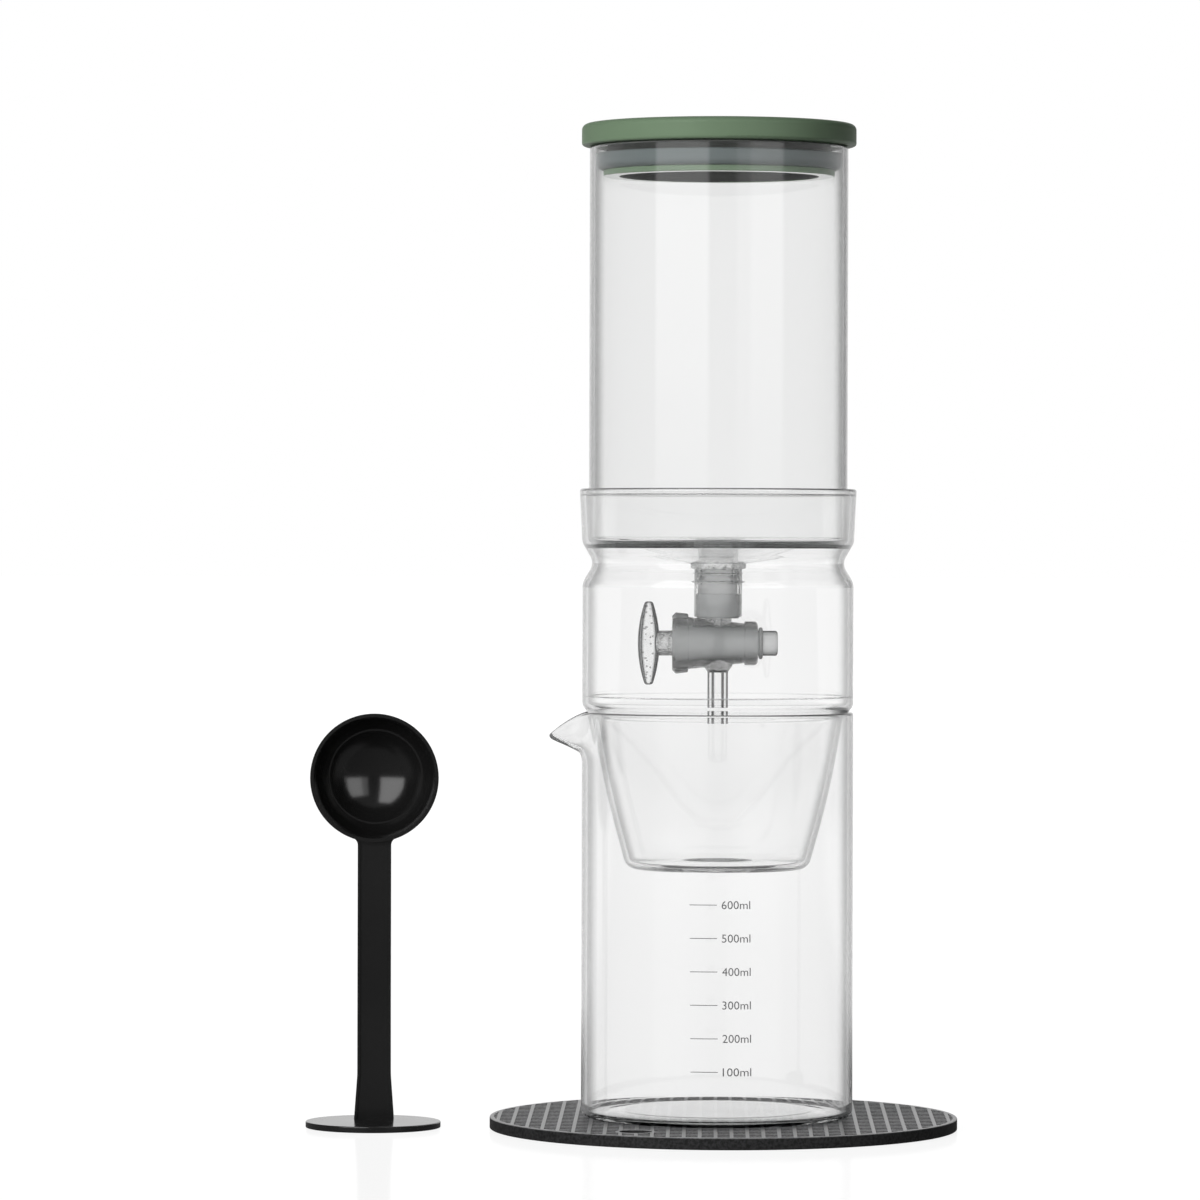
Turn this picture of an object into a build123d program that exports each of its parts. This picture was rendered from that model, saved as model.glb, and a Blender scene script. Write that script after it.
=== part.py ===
from build123d import *
import math
import os

# Cold drip coffee maker: a lidded glass ice jar with a ground glass stopcock stands in a waisted
# brew chamber, whose tapered basket hangs in a spouted carafe on a round coaster. A one-piece scoop
# and tamper stands beside it.
# Millimetres, +Z up. The origin is on the tower's axis at the underside of the coaster.
# The carafe's spout points along -X.

# ---- Clearances between pieces -------------------------------------------------------------
seat_gap = 0.3              # between curved faces where one piece rests on another
ground_gap = 0.05           # radial running fit of the ground glass cones
squeeze_gap = 0.05          # radial, between the gasket and the jar
ring_gap = 0.02             # radial, between the retaining ring and its groove

# ---- Coaster -----------------------------------------------------------------------------------
coaster_diameter = 180.0
coaster_thickness = 4.5
coaster_edge_round = 0.5
coaster_offset = 2.6        # its centre lies this far along +X from the tower's axis
hang_hole_diameter = 12.4
hang_hole_web = 11.6        # from the hole's edge to the coaster's edge
hang_hole_bearing = 241.8   # degrees from +X, about the coaster's centre

# ---- Carafe --------------------------------------------------------------------------------
carafe_radius = 52.25
carafe_height = 155.9
carafe_wall = 2.2
carafe_foot_round = 3.2
carafe_foot_width = 6.0     # flat ring that stands on the coaster, inside the foot's round
carafe_punt = 0.7           # the middle of the underside is raised by this
carafe_punt_run = 6.0       # the slope between that ring and the raised middle
carafe_punt_round = 12.0
spout_root_radius = 16.5    # outside of the spout's cone where it leaves the carafe's wall
spout_bore_radius = 1.0     # inside of the spout's cone at the tip
spout_overhang = 13.85      # end of the spout's cone, beyond the carafe's side
spout_tip_drop = 9.2        # the tip's underside lies this far below the rim
spout_lip_inset = 3.25      # the lip starts to curve down this far inside the carafe's side
spout_lip_drop = 8.2        # the lip's drop at the tip
spout_overlap = 13.0        # the spout's cone is drawn from this far inside the carafe

# ---- Brew chamber: collar, waist, body, shoulder and basket in one blown piece ---------------
body_step = 0.05            # the chamber's body is narrower than the carafe by this radius
chamber_wall = 2.2
shoulder_lean = 40.0        # degrees from upright, of the face that seats on the carafe's rim
shoulder_round = 4.0
basket_gap = 1.85           # between the basket's top and the inside of the carafe
basket_top_round = 3.0
basket_depth = 62.8         # underside of the basket, below the shoulder
basket_knee_inset = 4.8     # the basket's radius shrinks by this from its top to its knee
basket_knee_height = 30.3   # above the underside
basket_knee_round = 300.0
basket_foot_inset = 8.4     # and by this from its knee to its foot
basket_foot_round = 5.0
basket_floor_inset = 5.0    # the floor starts to rise this far inside the foot's corner
basket_floor_rise = 1.5
basket_floor_round = 30.0
basket_outlet_radius = 13.1
basket_outlet_round = 0.7
body_height = 47.4          # from the shoulder to the start of the waist's groove
groove_round = 6.0
groove_height = 7.3         # from the start of the groove up to the waist
waist_step = 2.0            # the waist is narrower than the jar by this radius
waist_round = 5.0
waist_rise = 8.0            # from the waist up to the foot of the collar
collar_step = 0.05          # the collar's foot is wider than the carafe by this radius
collar_gap = 0.35           # between the jar and the inside of the collar's foot
collar_round = 5.0
collar_height = 20.7
collar_flare = 1.0          # the collar's radius grows by this from its foot to its rim

# ---- Ice jar with its fused outlet socket ----------------------------------------------------
jar_height = 153.8
jar_wall = 2.1
jar_foot_round = 3.0
funnel_radius = 31.0        # where the jar's floor starts to slope to its outlet
funnel_round = 8.0
outlet_step = 1.1           # the funnel's outlet is narrower than the socket's bore by this
bead_step = 1.4             # the bead stands this far out from the socket
bead_top_drop = 6.3         # top of the bead, below the jar's floor
bead_height = 4.4
bead_round = 1.1
bead_root_round = 0.55      # where the bead meets the socket
socket_wall = 1.1
socket_length = 26.8        # from the jar's floor to the socket's mouth
socket_edge_round = 0.4

# ---- Stopcock --------------------------------------------------------------------------------
cone_taper = 0.05           # radius lost per millimetre, as on standard ground joints
cone_mouth_radius = 8.1     # the valve's male cone at the socket's mouth
cone_headroom = 0.2         # from the cone's top to the end of the socket's bore
cone_skirt = 0.6            # the cone's length below the socket's mouth
cone_wall = 2.7             # at the socket's mouth
cone_hollow_round = 2.7
cone_edge_round = 0.4
ground_length = 8.8         # ground zone of the socket, from its mouth
neck_bore_radius = 2.2
neck_wall = 3.1
neck_bore_round = 1.1
barrel_gap = 0.15           # from the socket's mouth down to the top of the barrel
barrel_left = 17.6          # barrel's end on the handle's side, from the tower's axis
barrel_right = 15.4
barrel_left_wall = 2.97     # glass round the bore beside the left collar
barrel_right_wall = 2.27    # and beside the right collar
left_collar_step = 1.75     # the left collar stands this far out from the barrel
left_collar_width = 6.2
left_collar_bevel = 1.4     # slant of the left collar's outer edge
left_collar_fall = 0.5      # the left collar's radius shrinks by this towards its inner edge
right_collar_step = 0.8
right_collar_width = 5.2
right_collar_round = 1.6    # outer edge of the right collar
barrel_edge_round = 0.6
right_inner_round = 0.4     # inner edge of the right collar
plug_middle_radius = 6.15   # the key's tapered plug on the tower's axis
port_radius = 1.6
drip_tube_bore_radius = 1.65
drip_tube_wall = 2.3
drip_tube_length = 30.3     # from the barrel's axis to the drip tip
drip_tube_flare = 1.7       # the tube widens by this where it meets the barrel
drip_tube_flare_length = 2.0
drip_tip_round = 0.5

# ---- Stopcock key ----------------------------------------------------------------------------
plug_setback = 0.4          # the plug's wide end lies inside the barrel's end
stem_radius = 4.85
stem_length = 4.8           # from the barrel's end to the grip
stem_end_round = 2.4        # inside the grip
stem_end_offset = 2.2       # from the grip's middle to the stem's end
stub_step = 0.58            # the stub is narrower than the plug's end by this radius
stub_length = 7.6           # beyond the barrel
stub_end_round = 1.0
ring_groove_depth = 0.25
ring_section = 1.6          # diameter of the rubber ring's cord
paddle_length = 32.0
paddle_width = 8.4
paddle_end_width = 3.0      # width at its ends, before they are rounded
paddle_end_round = 1.3
paddle_flatness = 0.8       # thickness across the grip, as a share of its width

# ---- Lid -------------------------------------------------------------------------------------
cap_overhang = 3.05         # beyond the jar's side
cap_thickness = 8.4
cap_top_round = 2.3
cap_bottom_round = 1.1
cap_skin = 2.6              # thickness of the cap over its recess
spigot_gap = 0.1            # radial, of the plug's spigot in the cap's recess
spigot_step = 2.1           # the spigot is narrower than the plug's neck by this radius
spigot_height = 4.0
plug_gap = 3.15             # between the plug's flange and the inside of the jar
plug_flange_height = 2.3    # of the flange under the gasket
plug_neck_step = 1.6        # above the gasket the plug is narrower than its flange by this radius
plug_wall = 6.3             # from the flange's edge in to the plug's cavity
plug_edge_round = 0.5
gasket_groove_round = 0.25
gasket_drop = 3.2           # top of the gasket, below the cap
gasket_height = 6.3
gasket_groove_depth = 2.4
gasket_top_round = 0.6
gasket_foot_round = 3.0     # eases the lid into the jar

# ---- Scoop and tamper ------------------------------------------------------------------------
scoop_gap = 18.9            # between the tamper and the coaster
tamper_diameter = 52.0
tamper_thickness = 2.4
tamper_edge_round = 0.4
bowl_radius = 24.85
bowl_wall = 1.35
bowl_centre_height = 134.3
bowl_ledge_depth = 14.6     # measuring ledge inside the bowl, below its mouth
bowl_ledge_step = 0.5
bowl_rim_stand = 2.0        # the bowl's rim stands this far in front of the handle
handle_front = 8.0          # the handle's front face, behind the tamper's centre
handle_width = 12.9
handle_thickness = 3.4
handle_edge_width = 1.0     # raised edges along both sides of the handle
handle_web_recess = 0.7
handle_foot_width = 15.7
handle_foot_height = 17.0
handle_foot_round = 34.0
handle_root_flare = 1.6     # the handle widens by this on each side where it meets the bowl
handle_root_round = 3.0

# ---- Glass, in every blown piece --------------------------------------------------------------
rim_share = 0.48            # fire-polished rim: its round, as a share of the wall
bend_share = 0.33           # least round on the inside of a bend, as a share of the wall

# ---- Levels and radii worked out from the sizes ----------------------------------------------
carafe_rim_z = coaster_thickness + carafe_height
rim_bead_round = carafe_wall / 2
rim_bead_radius = carafe_radius - rim_bead_round
rim_bead_z = carafe_rim_z - rim_bead_round
spout_reach = carafe_radius + spout_overhang
spout_tip_radius = spout_bore_radius + carafe_wall

chamber_radius = carafe_radius - body_step
basket_top_radius = carafe_radius - carafe_wall - basket_gap
basket_knee_radius = basket_top_radius - basket_knee_inset
basket_foot_radius = basket_knee_radius - basket_foot_inset
collar_radius = carafe_radius + collar_step
jar_radius = collar_radius - chamber_wall - collar_gap
waist_radius = jar_radius - waist_step

# The shoulder's leaning face passes the carafe's round rim at the seat gap.
lean = math.radians(shoulder_lean)
shoulder_reach = rim_bead_round + seat_gap + (chamber_radius - rim_bead_radius) * math.cos(lean)
shoulder_z = rim_bead_z + shoulder_reach / math.sin(lean)
basket_z = shoulder_z - basket_depth
groove_z = shoulder_z + body_height
waist_z = groove_z + groove_height
collar_z = waist_z + waist_rise
chamber_rim_z = collar_z + collar_height

# The jar's rounded foot rests on the sloping glass between the waist and the collar.
slope_length = math.hypot(collar_radius - waist_radius, collar_z - waist_z)
slope_out = (collar_radius - waist_radius) / slope_length
slope_up = (collar_z - waist_z) / slope_length
foot_run = (jar_radius - jar_foot_round - waist_radius + chamber_wall * slope_up) * slope_up
foot_centre_z = (waist_z + chamber_wall * slope_out
                 + (jar_foot_round + seat_gap + foot_run) / slope_out)
jar_z = foot_centre_z - jar_foot_round
jar_inside_radius = jar_radius - jar_wall
jar_rim_z = jar_z + jar_height
bead_top_z = jar_z - bead_top_drop
bead_z = bead_top_z - bead_height
socket_mouth_z = jar_z - socket_length
socket_bore_radius = cone_mouth_radius
socket_radius = socket_bore_radius + socket_wall
bead_radius = socket_radius + bead_step
funnel_outlet_radius = socket_bore_radius - outlet_step

# The barrel's walls stand on its tapered bore, and its widest turn clears the socket's mouth.
left_bore_radius = plug_middle_radius + ground_gap + cone_taper * barrel_left
right_bore_radius = plug_middle_radius + ground_gap - cone_taper * barrel_right
barrel_left_radius = left_bore_radius + barrel_left_wall
barrel_right_radius = right_bore_radius + barrel_right_wall
barrel_z = socket_mouth_z - barrel_gap - barrel_left_radius
drip_tube_radius = drip_tube_bore_radius + drip_tube_wall
drip_tip_z = barrel_z - drip_tube_length
stub_radius = right_bore_radius - ground_gap - stub_step

cap_z = jar_rim_z + seat_gap
cap_radius = jar_radius + cap_overhang
gasket_top_z = cap_z - gasket_drop
gasket_z = gasket_top_z - gasket_height
plug_z = gasket_z - plug_flange_height
plug_flange_radius = jar_inside_radius - plug_gap
plug_cavity_radius = plug_flange_radius - plug_wall
plug_neck_radius = plug_flange_radius - plug_neck_step
spigot_radius = plug_neck_radius - spigot_step
gasket_bore_radius = plug_flange_radius - gasket_groove_depth
gasket_radius = jar_inside_radius - squeeze_gap

scoop_x = coaster_offset - coaster_diameter / 2 - scoop_gap - tamper_diameter / 2


# ---- Helpers -----------------------------------------------------------------------------------
def turned(rows):
    """A solid turned about +Z from rows of radius, height and corner round."""
    points = [(radius, 0, height) for radius, height, _ in rows]
    rounds = [corner for _, _, corner in rows]
    return revolve(make_face(FilletPolyline(*points, radius=rounds, close=True)), Axis.Z, 360)


def turned_along_x(rows):
    """A solid turned about +X from rows of place along the axis, radius and corner round."""
    points = [(place, 0, radius) for place, radius, _ in rows]
    rounds = [corner for _, _, corner in rows]
    return revolve(make_face(FilletPolyline(*points, radius=rounds, close=True)), Axis.X, 360)


def blown(rows, wall):
    """A glass vessel of one wall, turned about +Z from the rows of its outside, foot to rim."""
    places = [Vector(radius, height) for radius, height, _ in rows]
    runs = [(b - a).normalized() for a, b in zip(places, places[1:])]
    runs = [runs[0]] + runs + [runs[-1]]
    inside = []
    for place, (_, _, corner), before, after in zip(places, rows, runs, runs[1:]):
        turn = before.cross(after).Z
        inward = Vector(-before.Y - after.Y, before.X + after.X)
        place += inward * (wall / (1 + before.dot(after)))
        if turn > 0:
            corner = max(corner - wall, bend_share * wall)
        elif turn < 0:
            corner += wall
        inside.append((place.X, place.Y, corner))
    return turned(rows + inside[::-1])


def upright_cylinder(radius, low, high):
    """A cylinder on the tower's axis between two levels."""
    return Pos(0, 0, low) * Cylinder(radius, high - low, align=(Align.CENTER, Align.CENTER, Align.MIN))


# ---- Coaster ---------------------------------------------------------------------------------------
def make_coaster():
    disc = Pos(coaster_offset, 0, 0) * Cylinder(
        coaster_diameter / 2, coaster_thickness, align=(Align.CENTER, Align.CENTER, Align.MIN))
    disc = fillet(disc.edges().filter_by(GeomType.CIRCLE), coaster_edge_round)
    hole_run = coaster_diameter / 2 - hang_hole_web - hang_hole_diameter / 2
    bearing = math.radians(hang_hole_bearing)
    hole_place = Pos(coaster_offset + hole_run * math.cos(bearing), hole_run * math.sin(bearing), 0)
    hole = Cylinder(hang_hole_diameter / 2, 3 * coaster_thickness)
    return disc - hole_place * hole


# ---- Carafe ------------------------------------------------------------------------------------
spout_root = Vector(-(carafe_radius - carafe_wall), 0, carafe_rim_z)
spout_tip = Vector(-(spout_reach - spout_tip_radius), 0,
                   carafe_rim_z - spout_tip_drop + spout_tip_radius)
spout_run = spout_tip - spout_root


def spout_cone(root_radius, tip_radius):
    """A round-ended cone along the spout, from inside the carafe to the tip."""
    widening = spout_overlap * (root_radius - tip_radius) / spout_run.length
    back = spout_run.normalized() * spout_overlap
    cone = Plane(origin=spout_root - back, z_dir=spout_run) * Cone(
        root_radius + widening, tip_radius, spout_run.length + spout_overlap,
        align=(Align.CENTER, Align.CENTER, Align.MIN))
    return cone + Pos(*spout_tip) * Sphere(tip_radius)


def lip_cutter():
    """The space above the carafe's rim and above the spout's lip, which curves down to the tip."""
    lip_start = carafe_radius - spout_lip_inset
    start = (-lip_start, carafe_rim_z)
    span = spout_reach - lip_start
    lip_curve = (span ** 2 + spout_lip_drop ** 2) / (2 * spout_lip_drop)
    end = (-spout_reach, carafe_rim_z - spout_lip_drop)
    past = -spout_reach - carafe_wall
    top = carafe_rim_z + spout_root_radius * 2
    half_way = span / 2
    middle = (-lip_start - half_way,
              carafe_rim_z - lip_curve + math.sqrt(lip_curve ** 2 - half_way ** 2))
    outline = Curve() + [
        ThreePointArc(start, middle, end),
        Polyline(end, (past, end[1]), (past, top), (carafe_radius, top),
                 (carafe_radius, carafe_rim_z), start),
    ]
    side_view = Plane.XZ * make_face(outline)
    return extrude(side_view, 2 * carafe_radius, both=True)


def make_carafe():
    foot_z = coaster_thickness
    foot_inside = carafe_radius - carafe_foot_round - carafe_foot_width
    jug = blown([
        (0, foot_z + carafe_punt, 0),
        (foot_inside - carafe_punt_run, foot_z + carafe_punt, carafe_punt_round),
        (foot_inside, foot_z, carafe_punt_round),
        (carafe_radius, foot_z, carafe_foot_round),
        (carafe_radius, carafe_rim_z, rim_share * carafe_wall),
    ], carafe_wall)
    within_wall = upright_cylinder(rim_bead_radius, foot_z, carafe_rim_z + carafe_radius)
    spout = spout_cone(spout_root_radius, spout_tip_radius) - lip_cutter() - within_wall
    within_jug = upright_cylinder(rim_bead_radius - carafe_wall, foot_z, carafe_rim_z + carafe_radius)
    slant = math.hypot(1, (spout_root_radius - spout_tip_radius) / spout_run.length)
    mouth = spout_cone(spout_root_radius - carafe_wall * slant, spout_bore_radius) - within_jug
    return jug + spout - mouth


# ---- Brew chamber --------------------------------------------------------------------------------
def make_brew_chamber():
    seat_drop = (chamber_radius - basket_top_radius) / math.tan(lean)
    return blown([
        (basket_outlet_radius, basket_z + basket_floor_rise, basket_outlet_round),
        (basket_foot_radius - basket_floor_inset, basket_z, basket_floor_round),
        (basket_foot_radius, basket_z, basket_foot_round),
        (basket_knee_radius, basket_z + basket_knee_height, basket_knee_round),
        (basket_top_radius, shoulder_z - seat_drop, basket_top_round),
        (chamber_radius, shoulder_z, shoulder_round),
        (chamber_radius, groove_z, groove_round),
        (waist_radius, waist_z, waist_round),
        (collar_radius, collar_z, collar_round),
        (collar_radius + collar_flare, chamber_rim_z, rim_share * chamber_wall),
    ], chamber_wall)


# ---- Ice jar -------------------------------------------------------------------------------------
def make_ice_jar():
    floor_z = jar_z + jar_wall
    funnel_slope = bead_top_drop / (funnel_radius - bead_radius)
    outlet_z = floor_z - (funnel_radius - funnel_outlet_radius) * funnel_slope
    ground_top_z = socket_mouth_z + ground_length
    ground_mouth = cone_mouth_radius + ground_gap
    ground_top = ground_mouth - ground_length * cone_taper
    rim = rim_share * jar_wall
    return turned([
        (socket_radius, socket_mouth_z, socket_edge_round),
        (socket_radius, bead_z, bead_root_round),
        (bead_radius, bead_z + bead_root_round, bead_round),
        (bead_radius, bead_top_z, bead_round),
        (funnel_radius, jar_z, funnel_round),
        (jar_radius, jar_z, jar_foot_round),
        (jar_radius, jar_rim_z, rim),
        (jar_inside_radius, jar_rim_z, rim),
        (jar_inside_radius, floor_z, jar_foot_round - jar_wall),
        (funnel_radius, floor_z, funnel_round),
        (funnel_outlet_radius, outlet_z, bead_round),
        (funnel_outlet_radius, bead_z + bead_round, bead_root_round),
        (socket_bore_radius, bead_z, bead_root_round),
        (socket_bore_radius, ground_top_z, 0),
        (ground_top, ground_top_z, 0),
        (ground_mouth, socket_mouth_z, 0),
    ])


# ---- Stopcock body -------------------------------------------------------------------------------
def make_valve_body():
    cone_top_z = bead_z - cone_headroom
    cone_foot_z = socket_mouth_z - cone_skirt
    top_radius = cone_mouth_radius - (cone_top_z - socket_mouth_z) * cone_taper
    foot_radius = cone_mouth_radius + cone_skirt * cone_taper
    neck_radius = neck_bore_radius + neck_wall
    cone_hollow_radius = cone_mouth_radius - cone_wall
    left_collar_radius = barrel_left_radius + left_collar_step
    right_collar_radius = barrel_right_radius + right_collar_step
    tube_flare_radius = drip_tube_radius + drip_tube_flare
    stem = turned([
        (0, cone_top_z, 0),
        (top_radius, cone_top_z, cone_edge_round),
        (foot_radius, cone_foot_z, cone_edge_round),
        (neck_radius, cone_foot_z, 0),
        (neck_radius, barrel_z, 0),
        (0, barrel_z, 0),
    ])
    left_inner = -barrel_left + left_collar_width
    right_inner = barrel_right - right_collar_width
    shell = Pos(0, 0, barrel_z) * turned_along_x([
        (-barrel_left, 0, 0),
        (-barrel_left, left_collar_radius - left_collar_bevel, barrel_edge_round),
        (-barrel_left + left_collar_bevel, left_collar_radius, barrel_edge_round),
        (left_inner, left_collar_radius - left_collar_fall, barrel_edge_round),
        (left_inner, barrel_left_radius, 0),
        (right_inner, barrel_right_radius, 0),
        (right_inner, right_collar_radius, right_inner_round),
        (barrel_right, right_collar_radius, right_collar_round),
        (barrel_right, 0, 0),
    ])
    tube_root_z = barrel_z - (barrel_left_radius + barrel_right_radius) / 2
    tube = turned([
        (0, drip_tip_z, 0),
        (drip_tube_radius, drip_tip_z, drip_tip_round),
        (drip_tube_radius, tube_root_z - drip_tube_flare_length, drip_tube_flare_length),
        (tube_flare_radius, tube_root_z, 0),
        (tube_flare_radius, barrel_z, 0),
        (0, barrel_z, 0),
    ])
    cone_hollow = turned([
        (0, cone_top_z + cone_edge_round, 0),
        (cone_hollow_radius, cone_top_z + cone_edge_round, 0),
        (cone_hollow_radius, cone_foot_z + cone_hollow_radius, cone_hollow_round),
        (neck_bore_radius, cone_foot_z, neck_bore_round),
        (neck_bore_radius, barrel_z, 0),
        (0, barrel_z, 0),
    ])
    past = barrel_edge_round
    plug_bore = Pos(0, 0, barrel_z) * turned_along_x([
        (-barrel_left - past, 0, 0),
        (-barrel_left - past, left_bore_radius + past * cone_taper, 0),
        (barrel_right + past, right_bore_radius - past * cone_taper, 0),
        (barrel_right + past, 0, 0),
    ])
    tube_bore = upright_cylinder(drip_tube_bore_radius, drip_tip_z - past, barrel_z)
    return stem + shell + tube - cone_hollow - plug_bore - tube_bore


# ---- Stopcock key --------------------------------------------------------------------------------
def ring_place():
    """The retaining ring's centre along +X: its cord lies a seat gap from the barrel's end."""
    return barrel_right + seat_gap + ring_section / 2


def make_paddle():
    """The grip, a round-ended bar that is thickest in its middle, upright with the port open."""
    half = paddle_length / 2
    half_end = paddle_end_width / 2
    side_view = make_face(Curve() + [
        ThreePointArc((half_end, 0, -half), (paddle_width / 2, 0, 0), (half_end, 0, half)),
        Polyline((half_end, 0, half), (0, 0, half), (0, 0, -half), (half_end, 0, -half)),
    ])
    bar = revolve(side_view, Axis.Z, 360)
    ends = bar.edges().filter_by(GeomType.CIRCLE)
    return scale(fillet(ends, paddle_end_round), by=(1, paddle_flatness, 1))


def make_valve_key():
    plug_left = -barrel_left + plug_setback
    grip_centre = -barrel_left - stem_length - paddle_width / 2
    groove_radius = stub_radius - ring_groove_depth
    ring_x = ring_place()
    half_groove = ring_section / 2
    stub_end = barrel_right + stub_length
    stem_end = grip_centre + stem_end_offset
    rod = turned_along_x([
        (stem_end, 0, 0),
        (stem_end, stem_radius, stem_end_round),
        (plug_left, stem_radius, 0),
        (plug_left, plug_middle_radius - cone_taper * plug_left, 0),
        (barrel_right, right_bore_radius - ground_gap, 0),
        (barrel_right, stub_radius, 0),
        (ring_x - half_groove, stub_radius, 0),
        (ring_x - half_groove, groove_radius, 0),
        (ring_x + half_groove, groove_radius, 0),
        (ring_x + half_groove, stub_radius, 0),
        (stub_end, stub_radius, stub_end_round),
        (stub_end, 0, 0),
    ])
    port = Cylinder(port_radius, 3 * plug_middle_radius)
    key = rod + Pos(grip_centre, 0, 0) * make_paddle() - port
    return Pos(0, 0, barrel_z) * key


def make_valve_ring():
    cord_radius = ring_section / 2
    pitch_radius = stub_radius - ring_groove_depth + ring_gap + cord_radius
    ring = Rot(0, 90, 0) * Torus(pitch_radius, cord_radius)
    return Pos(ring_place(), 0, barrel_z) * ring


# ---- Lid -----------------------------------------------------------------------------------------
def make_lid_cap():
    top_z = cap_z + cap_thickness
    recess_radius = spigot_radius + spigot_gap
    return turned([
        (0, top_z, 0),
        (cap_radius, top_z, cap_top_round),
        (cap_radius, cap_z, cap_bottom_round),
        (recess_radius, cap_z, 0),
        (recess_radius, top_z - cap_skin, cap_bottom_round),
        (0, top_z - cap_skin, 0),
    ])


def make_lid_plug():
    return turned([
        (plug_cavity_radius, plug_z, plug_edge_round),
        (plug_flange_radius, plug_z, plug_edge_round),
        (plug_flange_radius, gasket_z, gasket_groove_round),
        (gasket_bore_radius, gasket_z, 0),
        (gasket_bore_radius, gasket_top_z, 0),
        (plug_neck_radius, gasket_top_z, gasket_groove_round),
        (plug_neck_radius, cap_z, 0),
        (spigot_radius, cap_z, 0),
        (spigot_radius, cap_z + spigot_height, plug_edge_round),
        (plug_cavity_radius, cap_z + spigot_height, plug_edge_round),
    ])


def make_lid_gasket():
    """A plain ring with a rounded foot."""
    return turned([
        (gasket_bore_radius + ring_gap, gasket_z, 0),
        (gasket_radius, gasket_z, gasket_foot_round),
        (gasket_radius, gasket_top_z, gasket_top_round),
        (gasket_bore_radius + ring_gap, gasket_top_z, 0),
    ])


# ---- Scoop and tamper ----------------------------------------------------------------------------
def make_bowl():
    """A round bowl whose mouth faces -Y, with a measuring ledge inside."""
    centre = Pos(0, handle_front - bowl_rim_stand, bowl_centre_height)
    behind = Pos(0, bowl_radius, 0) * Box(4 * bowl_radius, 2 * bowl_radius, 4 * bowl_radius)
    shallow = Pos(0, bowl_ledge_depth / 2, 0) * Box(
        4 * bowl_radius, bowl_ledge_depth, 4 * bowl_radius)
    inside_radius = bowl_radius - bowl_wall
    shell = (Sphere(bowl_radius) & behind) - Sphere(inside_radius - bowl_ledge_step)
    return centre * (shell - (Sphere(inside_radius) & shallow))


def handle_outline(inset):
    """The handle's front outline from the tamper into the bowl's wall, its sides moved in."""
    half = handle_width / 2 - inset
    foot_half = handle_foot_width / 2 - inset
    root_half = half + handle_root_flare
    foot_top_z = tamper_thickness + handle_foot_height
    root_z = bowl_centre_height - bowl_radius
    flare_z = root_z + handle_root_flare
    end_z = flare_z + 2 * bowl_wall
    return Plane.XZ * make_face(FilletPolyline(
        (-foot_half, 0), (foot_half, 0), (half, foot_top_z), (half, root_z),
        (root_half, flare_z), (root_half, end_z), (-root_half, end_z), (-root_half, flare_z),
        (-half, root_z), (-half, foot_top_z), close=True,
        radius=[0, 0, handle_foot_round, handle_root_round, 0, 0, 0, 0,
                handle_root_round, handle_foot_round]))


def make_handle():
    """A flat bar with raised edges along its sides, front and back."""
    bar = extrude(handle_outline(0), -handle_thickness)
    pocket = extrude(handle_outline(handle_edge_width), handle_web_recess, both=True)
    back = Pos(0, handle_thickness, 0)
    return Pos(0, handle_front, 0) * (bar - pocket - back * pocket)


def make_scoop():
    disc = Cylinder(tamper_diameter / 2, tamper_thickness,
                    align=(Align.CENTER, Align.CENTER, Align.MIN))
    disc = fillet(disc.edges().filter_by(GeomType.CIRCLE), tamper_edge_round)
    bowl_place = Pos(0, handle_front - bowl_rim_stand, bowl_centre_height)
    handle = make_handle() - bowl_place * Sphere(bowl_radius - bowl_wall / 2)
    return Pos(scoop_x, 0, 0) * (disc + handle + make_bowl())


# ---- Output --------------------------------------------------------------------------------------
makers = {
    "coaster": make_coaster,
    "carafe": make_carafe,
    "brew_chamber": make_brew_chamber,
    "ice_jar": make_ice_jar,
    "valve_body": make_valve_body,
    "valve_key": make_valve_key,
    "valve_retaining_ring": make_valve_ring,
    "lid_cap": make_lid_cap,
    "lid_plug": make_lid_plug,
    "lid_gasket": make_lid_gasket,
    "scoop": make_scoop,
}

os.makedirs("parts", exist_ok=True)
for node, make in makers.items():
    export_step(make(), f"parts/{node}.step")
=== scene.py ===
import math

import bmesh
import bpy
from mathutils import Matrix, Vector
from mathutils.geometry import delaunay_2d_cdt


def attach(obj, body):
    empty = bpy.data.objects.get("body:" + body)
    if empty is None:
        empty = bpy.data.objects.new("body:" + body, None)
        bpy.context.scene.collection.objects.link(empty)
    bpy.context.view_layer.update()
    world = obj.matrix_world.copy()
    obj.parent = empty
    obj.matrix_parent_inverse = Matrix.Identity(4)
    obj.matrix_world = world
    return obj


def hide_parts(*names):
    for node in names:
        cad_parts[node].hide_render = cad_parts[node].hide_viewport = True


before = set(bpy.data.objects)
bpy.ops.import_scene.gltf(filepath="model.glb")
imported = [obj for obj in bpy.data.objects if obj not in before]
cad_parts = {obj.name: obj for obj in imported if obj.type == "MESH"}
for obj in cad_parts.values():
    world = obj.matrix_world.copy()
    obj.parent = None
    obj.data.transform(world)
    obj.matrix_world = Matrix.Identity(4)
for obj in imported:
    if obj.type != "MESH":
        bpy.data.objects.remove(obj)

# Looks of the cold drip coffee maker: blown glass vessels, ground glass stopcock, green lid,
# waffle coaster and black scoop. Sizes and places are in millimetres, and MM turns them into
# Blender's metres. The tower stands on the origin, +Z is up and -Y is the front.
MM = 0.001
scene = bpy.context.scene
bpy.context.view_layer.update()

# ---- Sizes that the glass shares with the CAD model
CARAFE_RADIUS = 52.25
CARAFE_WALL = 2.2
CARAFE_FOOT = 4.5          # underside of the carafe, on the coaster
CARAFE_RIM = 160.4
CHAMBER_FOOT = 99.93       # underside of the brew chamber's basket
CHAMBER_WALL = 2.2
JAR_FOOT = 223.796         # underside of the ice jar
JAR_HEIGHT = 153.8
JAR_RADIUS = 49.75
JAR_WALL = 2.1
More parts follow.
